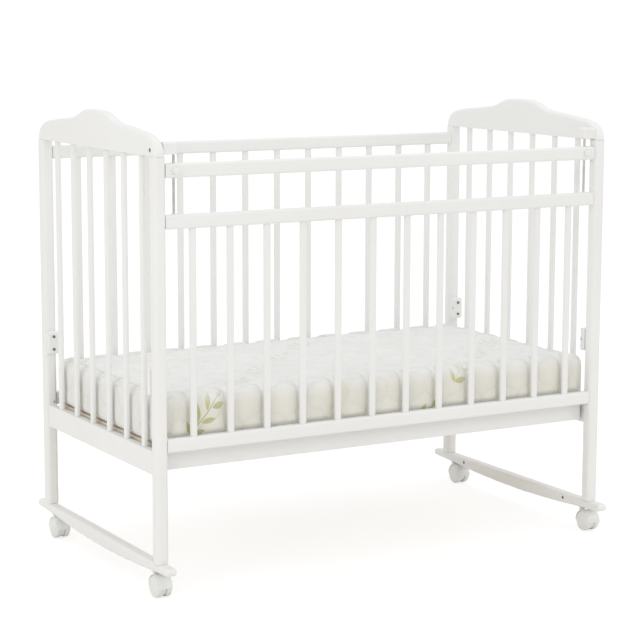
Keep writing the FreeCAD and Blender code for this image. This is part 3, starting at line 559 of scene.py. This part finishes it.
def quilted_knit():
    """White knitted ticking: fine loops, a faint woven-in figure, cream sides darkened partly as painted
    shade, painted shade along seams and creases, and printed sprigs.
    """
    t = Tree("quilted_knit")
    cloth = t.add("Attribute", attribute_name="cloth").outputs["Vector"]
    flat = t.add("Mapping", {"Vector": cloth, "Scale": (1, 1, 0)}).outputs[0]
    drop = t.add("SeparateXYZ", {"Vector": cloth}).outputs["Z"]
    across = t.add("SeparateXYZ", {"Vector": t.place()}).outputs["X"]

    # the top is white; the sides are cream and darker, partly their own colour and partly painted shade;
    # the left end has neither cream nor print
    plain_end = t.fade(across, -0.594, -0.578, 0.15)
    side = t.fade(drop, 0.006, 0.04, smooth=True)
    cloud = t.noise(flat, 9.0, 3.0)
    cream_and_shade = t.math("MULTIPLY", side, t.span(plain_end, 0.3, 1.0))
    ground = t.mix(cream_and_shade, t.ramp(cloud, TOP_TONES), t.ramp(cloud, SIDE_TONES))
    figure = t.noise(flat, 55.0, 1.0, 0.4, 2.2)
    woven = t.mix(0.8, ground, t.ramp(figure, VEINS), "MULTIPLY")

    # printed sprigs, fainter on the top as painted light washing them out, and a second, very faint set
    # between them
    patchy = t.span(t.noise(flat, 240.0, 2.0), 0.55, 1.0)
    green = t.math("MULTIPLY", sprig_mask(t, flat, 0.0, 0.0), patchy)
    # painted light: the print fades on the top as if washed out by the light; it is also fainter at the
    # left end
    print_strength = t.math("MULTIPLY", t.span(side, 0.26, 0.9), plain_end)
    colour = t.mix(t.math("MULTIPLY", green, print_strength), woven, LEAF_GREEN)
    pale = t.math("MULTIPLY", sprig_mask(t, flat, 0.09, STRIPE_STEP / 2), PALE_SHOWS)
    colour = t.mix(pale, colour, PALE_LEAF)

    # seams: painted shade along them, a line of stitches, and painted shade in the creases where the cover
    # swells past the slats
    seam, run = seam_lines(t, flat)
    # painted shade along the seams
    colour = t.mix(t.fade(seam, 0.0, 0.008, SEAM_SHOWS, 0.0, smooth=True), colour, SEAM_SHADE)
    on_seam = t.fade(seam, 0.0004, 0.001, 1.0, 0.0)
    wave = t.math("SINE", t.math("MULTIPLY", run, 2 * math.pi / STITCH))
    stitches = t.math("MULTIPLY", on_seam, t.math("GREATER_THAN", wave, -0.3))
    colour = t.mix(t.math("MULTIPLY", stitches, THREAD_SHOWS), colour, THREAD)
    fold = t.add("Attribute", attribute_name="fold").outputs["Fac"]
    # painted shade in the creases over each swelling, deeper where the crease is deeper
    colour = t.mix(t.math("MULTIPLY", fold, FOLD_SHOWS), colour, FOLD_SHADE)

    # relief: knitted loops, the woven-in figure and small creases
    wales, courses = (
        t.add("TexWave", {"Vector": flat, "Scale": scale, "Distortion": distortion, "Detail": 1.0,
                          "Detail Scale": 2.0}, bands_direction=way).outputs["Fac"]
        for scale, distortion, way in ((190.0, 0.6, "X"), (150.0, 0.8, "Y")))
    loops = t.math("MULTIPLY", wales, courses)
    raised = t.bump(figure, 0.0012, 0.25, t.bump(loops, 0.00045, 0.6))
    creases = t.noise(flat, 34.0, 3.0, 0.55, 0.9)
    return t.finish(color=colour, roughness=t.span(loops, 0.78, 0.92), sheen=0.25, specular=0.2,
                    normal=t.bump(creases, 0.0035, 0.16, raised), sheen_roughness=0.45)


mattress = make_mattress()
mattress.data.materials.append(quilted_knit())
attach(mattress, "mattress")
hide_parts("mattress")


# ---------------------------------------------------------------- floor, light and camera
FLOOR_BOUNCE = (0.86, 0.842, 0.81, 1)   # what the floor throws back at the crib
FLOOR_LIFT = 0.09                       # extra light that the floor gives it from below
FLOOR_SHADE, FLOOR_GLOW = 0.42, 0.68    # how the floor itself shows: shadows on it stay faint
FLOOR_HALF = 30.0                       # from the middle of the floor to its edge
SKY_LIGHT, SKY_SHOWN = 0.88, 1.1        # strength of the sky as light, and as the background
LIGHTS = (  # name, place, aim, size and power
    ("key", (-4.2, -2.4, 2.6), (0, 0, 0.5), 1.1, 22.0),
    ("fill", (3.6, -3.4, 2.6), (0, 0, 0.5), 1.1, 8.0),
    ("top", (0.6, -0.4, 4.2), (0, 0, 0.3), 3.2, 18.0))
LENS, SENSOR = 112.8, 36.0              # focal length and sensor width in mm
EYE, EYE_TURN = (-2.486, -4.325, 1.331), (81.06, -0.17, -29.81)


def backdrop():
    mesh = bpy.data.meshes.new("studio_floor")
    corners = ((-1, -1), (1, -1), (1, 1), (-1, 1))
    mesh.from_pydata([(a * FLOOR_HALF, b * FLOOR_HALF, 0) for a, b in corners], [], [(0, 1, 2, 3)])
    floor = bpy.data.objects.new("studio_floor", mesh)
    bpy.context.scene.collection.objects.link(floor)
    t = Tree("studio_floor")
    t.finish(color=FLOOR_BOUNCE, roughness=0.8, specular=0.0)
    t.shader.inputs["Emission Color"].default_value = FLOOR_BOUNCE
    t.shader.inputs["Emission Strength"].default_value = FLOOR_LIFT
    seen = t.add("BsdfDiffuse", {"Color": (FLOOR_SHADE,) * 3 + (1,)})
    glow = t.add("Emission", {"Color": (1, 1, 1, 1), "Strength": FLOOR_GLOW})
    bright = t.add("AddShader", {0: seen.outputs[0], 1: glow.outputs[0]})
    ray = t.add("LightPath").outputs["Is Camera Ray"]
    both = t.add("MixShader", {0: ray, 1: t.shader.outputs[0], 2: bright.outputs[0]})
    t.links.new(both.outputs[0], t.nodes["Material Output"].inputs["Surface"])
    mesh.materials.append(t.material)


def soft_light(name, place, aim, size, power):
    data = bpy.data.lights.new(name, "AREA")
    data.shape = "SQUARE"
    data.size = size
    data.energy = power
    light = bpy.data.objects.new(name, data)
    light.location = place
    light.rotation_euler = (Vector(aim) - Vector(place)).to_track_quat("-Z", "Y").to_euler()
    bpy.context.scene.collection.objects.link(light)


def studio():
    world = bpy.data.worlds.new("studio")
    world.use_nodes = True
    nodes, links = world.node_tree.nodes, world.node_tree.links
    sky = nodes["Background"]
    sky.inputs["Color"].default_value = (1.0, 0.998, 0.995, 1)
    ray = nodes.new("ShaderNodeLightPath")
    level = nodes.new("ShaderNodeMapRange")
    links.new(ray.outputs["Is Camera Ray"], level.inputs["Value"])
    level.inputs["To Min"].default_value = SKY_LIGHT
    level.inputs["To Max"].default_value = SKY_SHOWN
    links.new(level.outputs["Result"], sky.inputs["Strength"])
    bpy.context.scene.world = world
    bpy.context.scene.view_settings.view_transform = "Standard"
    for light in LIGHTS:
        soft_light(*light)
    backdrop()


def camera():
    data = bpy.data.cameras.new("camera")
    data.lens = LENS
    data.sensor_width = SENSOR
    data.clip_start = 0.1
    data.clip_end = 200.0
    eye = bpy.data.objects.new("camera", data)
    eye.location = EYE
    eye.rotation_euler = [math.radians(angle) for angle in EYE_TURN]
    bpy.context.scene.collection.objects.link(eye)
    bpy.context.scene.camera = eye


studio()
camera()
